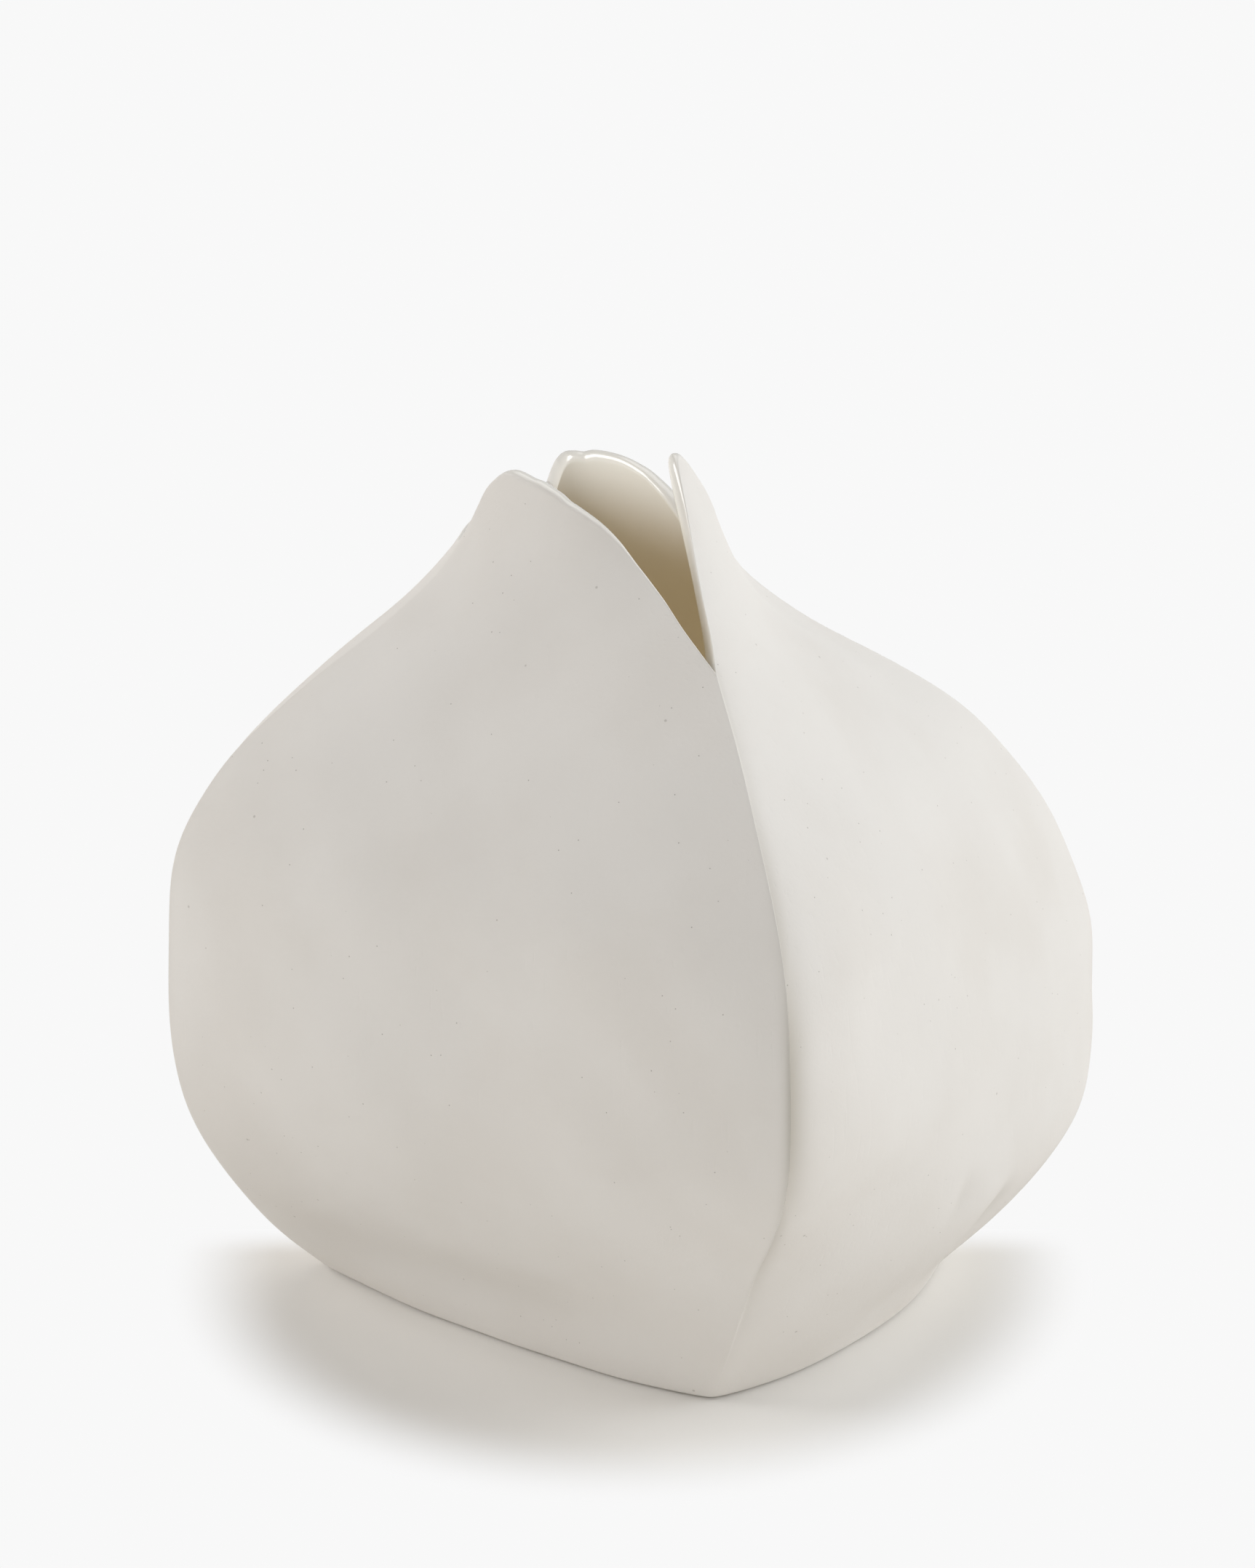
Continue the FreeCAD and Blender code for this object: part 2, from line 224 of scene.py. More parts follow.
# Grain of the clay: lumps per metre and depths
PATCH_SCALE = 28
PATCH_DETAIL = 3
PATCH_EDGES = (0.35, 0.70)  # the noise between which clay turns into its warmer shade
GRAIN_SCALE = 1400
GRAIN_DETAIL = 2
GRAIN_DEPTH = 0.00005
STROKE_SCALE = 900
STROKE_STRETCH = (1, 1, 0.1)  # strokes run upright
STROKE_EDGES = (0.62, 0.70)
STROKE_DEPTH = 0.00003
RIPPLE_SCALE = 160
RIPPLE_DEPTH = 0.00005
SPECKS = [(0.0034, 0.00018, 0.6), (0.010, 0.00038, 0.4)]  # spacing, radius and darkness
SPECK_CORE_SHARE = 0.4  # of a speck's radius, the part that is evenly dark
SPECK_DEPTH = 0.00012
BUMP_STRENGTH = 0.6

# Clay and glaze: how rough, how they bend light, and the heights between which the glaze turns warmer and
# the painted glow of daylight changes
CLAY_ROUGHNESS = 0.82
GLAZE_ROUGHNESS = 0.40
COAT_ROUGHNESS = 0.04
PORCELAIN_IOR = 1.5
# Heights between which the glaze colour turns warmer and yellower towards the floor
WARMER_GLAZE_HEIGHTS = (0.03, 0.155)
GLOW_HEIGHTS = (0.149, 0.166)
SLAB_GLAZE_HEIGHTS = (0.002, 0.004)

TARGET = Vector((0, 0, 0.10525))  # the camera's aim, on the vase's axis
CAMERA_DISTANCE = 0.8
CAMERA_AZIMUTH = 28
CAMERA_ELEVATION = 21
CAMERA_LENS = 89.65  # millimetres
CAMERA_SENSOR = 36  # millimetres along the picture's longer side
CAMERA_CLIP = 0.01

TABLE_RADIUS = 3
TABLE_SIDES = 96
TABLE_DROP = 0.0002  # the table lies this far below the foot
TABLE_ROUGHNESS = 0.9
TABLE_SHINE = 0.1

SKY_COLOUR = (1, 0.995, 0.985, 1)
HIGH_SKY_RISE = 0.9  # how high a direction points where the high sky is full

# Soft lights: name, bearing to the right of the camera, elevation, spread in degrees, share of
# the key, colour
LIGHT_SHARES = [
    ("back_light", 180, 60, 45, 0.21, (1, 1, 1)),
    ("right_light", 100, 30, 45, 0.49, (0.96, 1, 1.035)),
    ("left_light", -100, 28, 30, 0.38, (1, 1, 1)),
    ("front_light", 10, 6, 40, 0.12, (1, 1, 1)),
]


def length_property(name, description, default):
    limits = {"min": 0, "subtype": "DISTANCE", "unit": "LENGTH"}
    return FloatProperty(name=name, description=description, default=default, **limits)


def colour_property(name, description, default):
    limits = {"size": 3, "min": 0, "max": 1, "subtype": "COLOR"}
    return FloatVectorProperty(name=name, description=description, default=default, **limits)


def strength_property(name, description, default):
    return FloatProperty(name=name, description=description, default=default, min=0)


class VaseSizes(bpy.types.PropertyGroup):
    """Sizes of the vase that a maker would change."""

    body_height: length_property("Body height", "Table to the tip of the tallest petal", 0.180)
    belly_radius: length_property("Belly radius", "Axis to a corner seam where the body is fullest", 0.100)
    panel_crown: length_property("Panel crown", "Most that a panel swells past its seams", 0.020)
    foot_twist_height: length_property("Foot twist height", "The seams swing to the foot below this", 0.060)
    wall: length_property("Wall", "Thickness of the four panels", 0.003)
    lip_crown: length_property("Lip crown", "Rounded rim above the square end of the wall", 0.0013)
    dent_depth: length_property("Dent depth", "The deepest of the soft hollows in the panels", 0.0025)
    petal_lean: length_property("Petal lean", "How far the left petal leans in over the mouth", 0.006)
    petal_rise: length_property("Petal rise", "Climb above the notches to a petal's full lean", 0.025)
    seam_round: length_property("Seam round", "How softly two panels meet outside", 0.0012)
    corner_round: length_property("Corner round", "How softly two panels meet inside", 0.004)
    foot_round: length_property("Foot round", "Rounded lower edge of the walls", 0.0010)
    lump_height: length_property("Lump height", "Unevenness left by the hand", 0.00018)
    floor_slab: length_property("Floor slab", "Thickness of the floor slab", 0.0045)
    seam_coil_leg: length_property("Seam coil leg", "Reach of a corner coil along each panel", 0.009)
    seam_coil_swell: length_property("Seam coil swell", "Thickness of a corner coil over the seam", 0.0024)
    seam_coil_stop: length_property("Seam coil stop", "A corner coil ends this far below its notch", 0.022)
    base_coil_leg: length_property("Base coil leg", "Height and width of a coil round the floor", 0.007)
    thumb_depth: length_property("Thumb depth", "Prints of the thumb along the coils", 0.00045)
    thumb_spacing: length_property("Thumb spacing", "Distance from one thumb print to the next", 0.013)
    feather: length_property("Feather", "How deep the edges of a coil are smeared into the wall", 0.0003)


class VaseFinishes(bpy.types.PropertyGroup):
    """Colours of the fired clay and its glaze, with the painted shade of its creases and the painted glow
    of daylight inside.
    """

    bisque: colour_property("Bisque", "Unglazed porcelain outside", (0.84, 0.805, 0.76))
    bisque_shade: colour_property("Bisque shade", "Slightly warmer patches of the clay", (0.81, 0.77, 0.72))
    glaze: colour_property("Glaze", "Clear glaze over the clay near the rim", (0.83, 0.795, 0.73))
    # Glaze colour towards the floor, warmer and yellower than near the rim.
    warmer_low_glaze: colour_property("Pooled glaze", "Glaze run thick towards the floor", (0.92, 0.84, 0.69))
    # Painted light: emission colours that make the glazed inside glow, near the rim as daylight through the
    # petals and warmer lower down.
    painted_petal_daylight: colour_property("Translucence", "Daylight through the petals", (0.285, 0.285, 0.265))
    painted_deep_glow: colour_property("Deep glow", "Warmer daylight lower down", (0.057, 0.046, 0.027))
    # Painted shade: the darker clay colour laid into the creases where their shade falls.
    painted_crease_shade: colour_property("Crease", "Clay in the shade of the creases", (0.50, 0.465, 0.40))
    speck: colour_property("Speck", "Iron specks and pits in the clay", (0.30, 0.26, 0.22))


class VaseStage(bpy.types.PropertyGroup):
    """Light and table of the picture."""

    table_colour: colour_property("Table colour", "Pale table top", (0.915, 0.895, 0.862))
    backdrop: strength_property("Backdrop", "Brightness of the plain background", 0.94)
    shadow_reach: length_property("Shadow reach", "The vase's shadow ends this far from its middle", 0.085)
    shadow_shift: length_property("Shadow shift", "How far the shadow lies in front of the axis", 0.008)
    shadow_fade: length_property("Shadow fade", "Width over which the shadow fades out", 0.026)
    low_sky: strength_property("Low sky", "Strength of the even light from the sides", 0.52)
    high_sky: strength_property("High sky", "Strength of the even light from above", 0.22)
    key: strength_property("Key", "Strength of the soft lights together", 0.97)


def spline_through(stations, values, at):
    """Natural cubic spline through values at their stations: cubics between the stations whose
    second derivative is continuous and is zero at both ends."""
    stations = np.asarray(stations, float)
    values = np.asarray(values, float)
    gaps = np.diff(stations)
    count = len(stations)
    inner = np.arange(1, count - 1)
    system = np.eye(count)
    system[inner, inner - 1] = gaps[:-1]
    system[inner, inner] = 2 * (gaps[:-1] + gaps[1:])
    system[inner, inner + 1] = gaps[1:]
    jumps = np.zeros(count)
    jumps[1:-1] = 6 * np.diff(np.diff(values) / gaps)
    bends = np.linalg.solve(system, jumps)
    spot = np.clip(np.searchsorted(stations, at, side="right") - 1, 0, count - 2)
    gap = gaps[spot]
    before = stations[spot + 1] - at
    after = at - stations[spot]
    low = bends[spot]
    high = bends[spot + 1]
    curve = (low * before ** 3 + high * after ** 3) / (6 * gap)
    curve = curve + (values[spot] / gap - low * gap / 6) * before
    return curve + (values[spot + 1] / gap - high * gap / 6) * after


def bearing_vector(degrees):
    """Level unit vectors at bearings from the front (-Y) round towards the right (+X)."""
    angle = np.radians(degrees)
    return np.stack([np.sin(angle), -np.cos(angle), np.zeros_like(angle)], axis=-1)


def unit(vectors):
    return vectors / np.linalg.norm(vectors, axis=-1, keepdims=True)


def dot(first, second):
    return (first * second).sum(-1)


def crowded(count, crowd):
    """Places from 0 to 1, closer together at both ends: s less a share of one sine wave."""
    even = np.linspace(0, 1, count + 1)
    return even - crowd * np.sin(2 * np.pi * even) / (2 * np.pi)


class VaseShape:
    """The vase in formulas: each method takes arrays and gives arrays of points in metres."""

    def __init__(self, sizes):
        self.sizes = sizes
        self.across = 2 * crowded(COLUMNS, COLUMN_CROWD)[:, None] - 1
        self.rise = crowded(ROWS, ROW_CROWD)[None, :]
        self.outer_round = {}
        for seam, shares in SEAM_ROUND_SHARES.items():
            self.outer_round[seam] = sizes.seam_round * np.array(shares)
        self.inner_round = {seam: sizes.corner_round * np.ones(2) for seam in SEAM_ANGLES}

    def seam_radius(self, seam, height):
        level = height / self.sizes.body_height
        return self.sizes.belly_radius * spline_through(LEVEL_SHARES, SEAM_RADIUS_SHARES[seam], level)

    def wall_slope(self, seam, height):
        """How fast the two panels beside a seam spread out as they rise."""
        step = SLOPE_STEP_SHARE * self.sizes.body_height
        low = np.maximum(0, height - step)
        high = low + 2 * step
        return (self.seam_radius(seam, high) - self.seam_radius(seam, low)) / ((high - low) * DIAGONAL)

    def seam_point(self, seam, height, depth):
        """Point of a corner seam, or of the corner under a wall of that depth."""
        inset = depth * DIAGONAL * np.sqrt(1 + self.wall_slope(seam, height) ** 2)
        twist = np.maximum(0, 1 - height / self.sizes.foot_twist_height) ** 2
        bearing = SEAM_ANGLES[seam] + FOOT_SWING_ANGLES[seam] * twist
        point = bearing_vector(bearing) * (self.seam_radius(seam, height) - inset)[..., None]
        point[..., 2] = height
        return point

    def notch_height(self, seam):
        return self.sizes.body_height * RIM_SHARES[panels_beside(seam)[1]][0]

    def hollow_depth(self, panel, across, height):
        """Round bells, exp(-x^2 - z^2) of the distance in half widths, that fade out at the seams."""
        level = height / self.sizes.body_height
        depth = np.zeros(np.broadcast(across, height).shape)
        for name, middle, middle_level, half_width, half_height, share in HOLLOW_SHARES:
            if name == panel:
                spread = ((across - middle) / half_width) ** 2 + ((level - middle_level) / half_height) ** 2
                depth += self.sizes.dent_depth * share * np.exp(-spread)
        return depth * (1 - across ** HOLLOW_FADE_POWER)

    def panel_point(self, panel, across, height, depth):
        """Straight between the two seams, plus swelling (1 - |across|^2.2), less hollows and lean."""
        sizes = self.sizes
        left, right = PANEL_SEAMS[panel]
        share = (across + 1) / 2
        left_point = self.seam_point(left, height, depth)
        right_point = self.seam_point(right, height, depth)
        chord = left_point * (1 - share)[..., None] + right_point * share[..., None]
        level = height / sizes.body_height
        swell = sizes.panel_crown * spline_through(LEVEL_SHARES, SWELL_SHARES[panel], level)
        swell = swell * (1 - np.abs(across) ** SWELL_POWER)
        notch = self.notch_height(left) * (1 - share) + self.notch_height(right) * share
        climb = np.maximum(0, (height - notch) / sizes.petal_rise)
        lean = sizes.petal_lean * LEAN_SHARES[panel] * climb ** LEAN_POWER
        outward = swell - lean - self.hollow_depth(panel, across, height)
        return chord + bearing_vector(PANEL_ANGLES[panel]) * outward[..., None]

    def seam_frame(self, seam, height, depth):
        """At a seam: its point, the outward direction between its two panels, the direction round
        the vase, and how steeply the panels fall away from the outward direction."""
        left_panel, right_panel = panels_beside(seam)
        height = np.minimum(height, self.notch_height(seam))
        corner = self.seam_point(seam, height, depth)
        step = np.full_like(height, 1 - TINY_SHARE)
        to_left = unit(self.panel_point(left_panel, step, height, depth) - corner)
        to_right = unit(self.panel_point(right_panel, -step, height, depth) - corner)
        outward = -unit(to_left + to_right)
        round_about = unit(to_right - to_left)
        fall = -dot(to_right, outward) / dot(to_right, round_about)
        return corner, outward, round_about, fall

    def rounded_point(self, panel, across, height, depth, softness):
        """A panel's skin with its seams rounded: beside a seam, the distance |t| from it gives way
        to the hyperbola sqrt(t^2 + softness^2). Each seam has a softness on the body and one at
        the foot. Also gives the signed distance from each seam."""
        point = self.panel_point(panel, across, height, depth)
        distances = {}
        for end, seam in zip((-1, 1), PANEL_SEAMS[panel]):
            corner, outward, round_about, fall = self.seam_frame(seam, height, depth)
            run = dot(point - corner, round_about)
            near = ((1 + end * across) / 2) ** 2
            on_body, at_foot = softness[seam]
            soft = on_body + (at_foot - on_body) * np.maximum(0, 1 - height / self.sizes.foot_twist_height)
            sink = fall * (np.hypot(run, soft) - np.abs(run)) * near
            point = point - outward * sink[..., None]
            distances[seam] = run
        return point, distances

    def fold_relief(self, distances, height):
        """Rise of the soft folds beside the seams, bells along and across each seam, less the laps:
        a quick drop beside the seam, then an exponential return, both within a bell along it."""
        wall = self.sizes.wall
        relief = np.zeros_like(height)
        for seam, place, half_width, middle, half_height, rise in FOLD_SHARES:
            if seam in distances:
                sideways = (distances[seam] / wall - place) / half_width
                upwards = (height / self.sizes.body_height - middle) / half_height
                relief += wall * rise * np.exp(-sideways ** 2 - upwards ** 2)
        for seam, side, middle, half_height, depth in LAP_SHARES:
            if seam in distances:
                away = np.maximum(0, side * distances[seam]) / wall
                upwards = (height / self.sizes.body_height - middle) / half_height
                drop = (1 - np.exp(-away / LAP_DROP_SHARE)) * np.exp(-away / LAP_REACH_SHARE)
                relief -= wall * depth * drop * np.exp(-upwards ** 2)
        return relief

    def painted_shade_in_creases(self, distances, height):
        """How much painted shade goes into the clay's colour in the creases: bells along the seams
        and, wider to the right, across them."""
        shade = np.zeros_like(height)
        for seam, place, middle, half_height, reach, strength in PAINTED_CREASE_SHADE_SHARES:
            if seam in distances:
                sideways = distances[seam] / self.sizes.wall - place
                sideways = sideways / np.where(sideways > 0, reach, reach * CREASE_LEFT_SHARE)
                upwards = (height / self.sizes.body_height - middle) / half_height
                shade = np.maximum(shade, strength * np.exp(-sideways ** 2 - upwards ** 2))
        return shade

    def lumps(self, points):
        """Unevenness of the hand: a sum of slow sine waves through space in seeded directions."""
        rng = np.random.default_rng(LUMP_SEED)
        relief = np.zeros(points.shape[:-1])
        for _ in range(LUMP_WAVES):
            direction = unit(rng.normal(size=3))
            length = rng.uniform(*LUMP_LENGTHS)
            phase = rng.uniform(0, 2 * np.pi)
            relief += np.sin(2 * np.pi * (points @ direction) / length + phase)
        return relief * self.sizes.lump_height * math.sqrt(2 / LUMP_WAVES)

    def rim_height(self, panel, depth):
        """Height of the wall's end, square to the wall, so lower on the inside of a leaning one."""
        left, right = PANEL_SEAMS[panel]
        height = self.sizes.body_height * spline_through(ACROSS_SHARES, RIM_SHARES[panel], self.across)
        for name, place, half_width, rise in RIM_WAVE_SHARES:
            if name == panel:
                bell = np.exp(-((self.across - place) / half_width) ** 2)
                height = height + self.sizes.wall * rise * bell
        share = (self.across + 1) / 2
        slope = self.wall_slope(left, height) * (1 - share) + self.wall_slope(right, height) * share
        return height + depth * slope / np.sqrt(1 + slope ** 2)

    def skin(self, panel, depth, softness):
        """One side of a panel from foot to rim, with the relief beside its seams and the painted shade of
        its creases.
        """
        height = self.rise * self.rim_height(panel, depth)
        across = np.broadcast_to(self.across, height.shape)
        point, distances = self.rounded_point(panel, across, height, depth, softness)
        return point, self.fold_relief(distances, height), self.painted_shade_in_creases(distances, height)

    def foot_pull(self, height):
        """How far the rounded lower edge draws in: a quarter circle."""
        radius = self.sizes.foot_round
        drop = np.clip(1 - height / radius, 0, 1)
        return radius * (1 - np.sqrt(1 - drop ** 2))

    def lip(self, outside, inside, turns):
        """Half an oval over the wall's end: cosine of the turn across it and sine up from it."""
        middle = (outside[:, -1:] + inside[:, -1:]) / 2
        reach = (outside[:, -1:] - inside[:, -1:]) / 2
        climb = unit(outside[:, -1:] - outside[:, -3:-2])
        wall_way = unit(reach)
        up = unit(climb - wall_way * dot(climb, wall_way)[..., None])
        angle = (np.pi * turns)[None, :, None]
        return middle + reach * np.cos(angle) + up * self.sizes.lip_crown * np.sin(angle)

    def ring(self):
        """The whole wall as one grid: round the vase along the first axis, and along the second up
        the outside, over the lip and down the inside. Each panel's last column is the next one's
        first. Gives points, normals, and at the points the glaze, the painted glow of daylight and
        the painted shade of the creases."""
        outsides, reliefs, shades, insides = [], [], [], []
        for panel in PANEL_SEAMS:
            point, relief, shade = self.skin(panel, 0, self.outer_round)
            outsides.append(point[:-1])
            reliefs.append(relief[:-1])
            shades.append(shade[:-1])
            insides.append(self.skin(panel, self.sizes.wall, self.inner_round)[0][:-1])
        outside = np.concatenate(outsides)
        inside = np.concatenate(insides)
        relief = np.concatenate(reliefs) + self.lumps(outside) - self.foot_pull(outside[..., 2])
        push = ring_normals(outside)
        push[..., 2] *= np.clip(outside[..., 2] / (LEVEL_FOOT_SHARE * self.sizes.foot_round), 0, 1)
        outside = outside + push * relief[..., None]
        turns = np.arange(1, LIP_ROWS + 1) / (LIP_ROWS + 1)
        points = np.concatenate([outside, self.lip(outside, inside, turns), inside[:, ::-1]], axis=1)
        # Painted shade: how strongly the outside takes the darker clay colour of the creases.
        painted_crease_shade = np.zeros(points.shape[:2])
        painted_crease_shade[:, :ROWS + 1] = np.concatenate(shades)
        glaze_turns = np.clip((turns - GLAZE_START_SHARE) / GLAZE_FADE_SHARE, 0, 1)
        # Painted light: from this turn over the lip, and all down the inside, the wall glows with emission.
        glow_turns = np.clip((turns - GLOW_START_SHARE) / (1 - GLOW_START_SHARE), 0, 1)
        coats = {"painted_crease_shade": painted_crease_shade}
        for coat, lip_values in (("glaze", glaze_turns), ("glow", glow_turns)):
            values = np.concatenate([np.zeros(ROWS + 1), lip_values, np.ones(ROWS + 1)])
            coats[coat] = np.broadcast_to(values, points.shape[:2])
        return points, ring_normals(points), coats

    def half_width(self, panel, height):
        """Half the straight distance between a panel's two seams, inside the wall."""
        wall = self.sizes.wall
        left_point, right_point = (self.seam_point(seam, height, wall) for seam in PANEL_SEAMS[panel])
        return np.linalg.norm(left_point - right_point, axis=-1) / 2

    def thumbed(self, along, swell):
        """A coil's thickness with thumb prints along it: a row of half sine waves."""
        return swell - self.sizes.thumb_depth * np.abs(np.sin(np.pi * along / self.sizes.thumb_spacing))

    def over_wall(self, panel, across, height, swell):
        """Points just under a panel's inner skin, and points in the hollow that far off it."""
        sizes = self.sizes
        across, height, swell = np.broadcast_arrays(across, height, swell)
        depths = (sizes.wall - 2 * sizes.feather, sizes.wall - sizes.feather + swell)
        skins = [self.rounded_point(panel, across, height, depth, self.inner_round)[0] for depth in depths]
        return np.stack(skins)

    def seam_coil(self, seam):
        """Both sides of a coil thumbed into a corner. Its thickness over the clay is (1 - t^2)^2 of
        the way t from the seam to its edge, and ebbs away below the notch."""
        sizes = self.sizes
        top = self.notch_height(seam) - sizes.seam_coil_stop
        height = np.linspace(sizes.floor_slab - sizes.feather, top, COIL_ROWS)[None, :]
        ebb = 1 - np.clip(1 - (top - height) / sizes.seam_coil_leg, 0, 1) ** 2
        way = np.linspace(0, 1, COIL_COLUMNS)[:, None]
        swell = self.thumbed(height, sizes.seam_coil_swell) * (1 - way ** 2) ** 2 * ebb
        left_panel, right_panel = panels_beside(seam)
        left_reach = sizes.seam_coil_leg / self.half_width(left_panel, height)
        right_reach = sizes.seam_coil_leg / self.half_width(right_panel, height)
        left_half = self.over_wall(left_panel, 1 - way * left_reach, height, swell)
        right_half = self.over_wall(right_panel, way * right_reach - 1, height, swell)
        return np.concatenate([left_half[:, ::-1], right_half[:, 1:]], axis=1)

    def base_coil(self, panel):
        """Both sides of a coil along the foot of a panel: a quarter circle hollow from wall to floor."""
        sizes = self.sizes
        angle = np.linspace(np.pi / 2, 0, COIL_COLUMNS)[None, :]
        height = sizes.floor_slab - sizes.feather + sizes.base_coil_leg * (1 - np.sin(angle))
        width = self.half_width(panel, np.array(sizes.floor_slab))
        across = np.linspace(-1, 1, COIL_ROWS)[:, None] * (1 - sizes.seam_coil_leg / width / 2)
        leg = self.thumbed(across * width, sizes.base_coil_leg)
        return self.over_wall(panel, across, height, leg * (1 - np.cos(angle)))


def panels_beside(seam):
    """The panels to the left and to the right of a seam, as seen from outside."""
    left_panel = next(name for name, seams in PANEL_SEAMS.items() if seams[1] == seam)
    right_panel = next(name for name, seams in PANEL_SEAMS.items() if seams[0] == seam)
    return left_panel, right_panel


def ring_normals(ring):
    """Normals of a grid that closes on itself round its first axis, by central differences."""
    around = np.roll(ring, -1, axis=0) - np.roll(ring, 1, axis=0)
    along = np.gradient(ring, axis=1)
    return unit(np.cross(around, along))


def grid_quads(columns, rows):
    """Corner numbers of the quads of a grid of points counted column by column, facing outwards."""
    corner = np.arange(columns - 1)[:, None] * rows + np.arange(rows - 1)[None, :]
    return np.stack([corner, corner + rows, corner + rows + 1, corner + 1], axis=-1).reshape(-1, 4)


def two_sided_quads(columns, rows):
    """Corner numbers for two grids, an outer and then an inner one, closed along their edges."""
    number = np.arange(columns * rows).reshape(columns, rows)
    edge = np.concatenate([number[::-1, 0], number[0, 1:], number[1:, -1], number[-1, -2:0:-1]])
    onward = np.roll(edge, -1)
    outer = grid_quads(columns, rows)
    border = np.stack([edge, onward, onward + number.size, edge + number.size], axis=-1)
    return outer, outer[:, ::-1] + number.size, border


def face_normals(points, quads):
    """One normal per quad, square to its diagonals."""
    first = points[quads[:, 2]] - points[quads[:, 0]]
    second = points[quads[:, 3]] - points[quads[:, 1]]
    normals = np.cross(first, second)
    return normals / np.maximum(np.linalg.norm(normals, axis=1, keepdims=True), TINY_LENGTH)


def mesh_piece(name, points, quads, corner_normals, coats):
    """A new object from arrays of points, quads, one normal per quad corner, and named coats."""
    mesh = bpy.data.meshes.new(name)
    mesh.vertices.add(len(points))
    mesh.vertices.foreach_set("co", points.astype(np.float32).ravel())
    mesh.loops.add(quads.size)
    mesh.loops.foreach_set("vertex_index", quads.astype(np.int32).ravel())
    mesh.polygons.add(len(quads))
    mesh.polygons.foreach_set("loop_start", np.arange(0, quads.size, 4, dtype=np.int32))
    mesh.polygons.foreach_set("use_smooth", np.ones(len(quads), bool))
    mesh.update(calc_edges=True)
    mesh.normals_split_custom_set(corner_normals.reshape(-1, 3))
    for coat, values in coats.items():
        attribute = mesh.attributes.new(coat, "FLOAT", "POINT")
        attribute.data.foreach_set("value", values.astype(np.float32).ravel())
    piece = bpy.data.objects.new(name, mesh)
    bpy.context.scene.collection.objects.link(piece)
    return piece


def panel_piece(name, points, normals, coats):
    """A closed panel: its skin, its flat foot, and its two ends where it meets its neighbours."""
    columns, rows = points.shape[:2]
    points = points.reshape(-1, 3)
    skin = grid_quads(columns, rows)
    last = rows - 1
    first_of = np.arange(columns) * rows
    foot = np.stack([first_of[:-1] + last, first_of[1:] + last, first_of[1:], first_of[:-1]], axis=-1)
    step = np.arange(rows // 2 - 1)
    end = np.stack([step, step + 1, last - 1 - step, last - step], axis=-1)
    far_end = end[:, ::-1] + (columns - 1) * rows
    flat = np.concatenate([foot, end, far_end])
    skin_normals = normals.reshape(-1, 3)[skin]
    flat_normals = np.repeat(face_normals(points, flat)[:, None], 4, axis=1)
    corner_normals = np.concatenate([skin_normals, flat_normals])
    return mesh_piece(name, points, np.concatenate([skin, flat]), corner_normals, coats)


def coil_piece(name, sides):
    """A closed coil from its outer side, hidden in the wall, and its inner side."""
    columns, rows = sides.shape[1:3]
    inward = -unit(np.cross(np.gradient(sides[1], axis=0), np.gradient(sides[1], axis=1))).reshape(-1, 3)
    points = sides.reshape(-1, 3)
    outer, inner, border = two_sided_quads(columns, rows)
    hidden = np.concatenate([outer, border])
    hidden_normals = np.repeat(face_normals(points, hidden)[:, None], 4, axis=1)
    corner_normals = np.concatenate([inward[inner - len(inward)], hidden_normals])
    # Painted light: the coils glow with emission like the inside of the wall.
    coats = {"glaze": np.ones(len(points)), "glow": np.ones(len(points))}
    return mesh_piece(name, points, np.concatenate([inner, hidden]), corner_normals, coats)


class Socket:
    """An output of a shader node. Sums, differences and products of sockets add Math nodes."""

    def __init__(self, tree, output=None):
        self.tree = tree
        self.output = output

    def node(self, kind, settings=None, inputs=None, output=0):
        """Adds a node: its settings first, then the values or links of its sockets."""
        node = self.tree.nodes.new(kind)
        for name, value in (settings or {}).items():
            setattr(node, name, value)
        for name, value in (inputs or {}).items():
            if isinstance(value, Socket):
                self.tree.links.new(value.output, node.inputs[name])
            else:
                node.inputs[name].default_value = value
        return Socket(self.tree, node.outputs[output] if len(node.outputs) else None)

    def math(self, operation, first, second):
        return self.node("ShaderNodeMath", {"operation": operation}, {0: first, 1: second})

    def __add__(self, other):
        return self.math("ADD", self, other)

    def __mul__(self, other):
        return self.math("MULTIPLY", self, other)

    def __sub__(self, other):
        return self.math("SUBTRACT", self, other)

    def __rsub__(self, other):
        return self.math("SUBTRACT", other, self)

    def ramped(self, start, stop):
        """0 below start and 1 above stop, with a smooth climb between them."""
        inputs = {"Value": self, "From Min": start, "From Max": stop}
        return self.node("ShaderNodeMapRange", {"interpolation_type": "SMOOTHSTEP"}, inputs)

    def blended(self, first, second):
        """Colours mixed by this socket."""
        inputs = {"Factor": self, 6: first, 7: second}
        return self.node("ShaderNodeMix", {"data_type": "RGBA"}, inputs, 2)


def rgba(colour):
    return (*colour, 1)


def noise(place, scale, detail=GRAIN_DETAIL):
    """Fractal noise from 0 to 1 in lumps of about one over the scale."""
    return place.node("ShaderNodeTexNoise", None, {"Vector": place, "Scale": scale, "Detail": detail})


def specks(place, spacing, radius):
    """1 in small round spots about one spacing apart, 0 elsewhere: near the points of a Voronoi grid."""
    inputs = {"Vector": place, "Scale": 1 / spacing}
    distance = place.node("ShaderNodeTexVoronoi", None, inputs, "Distance")
    return 1 - distance.ramped(SPECK_CORE_SHARE * radius / spacing, radius / spacing)


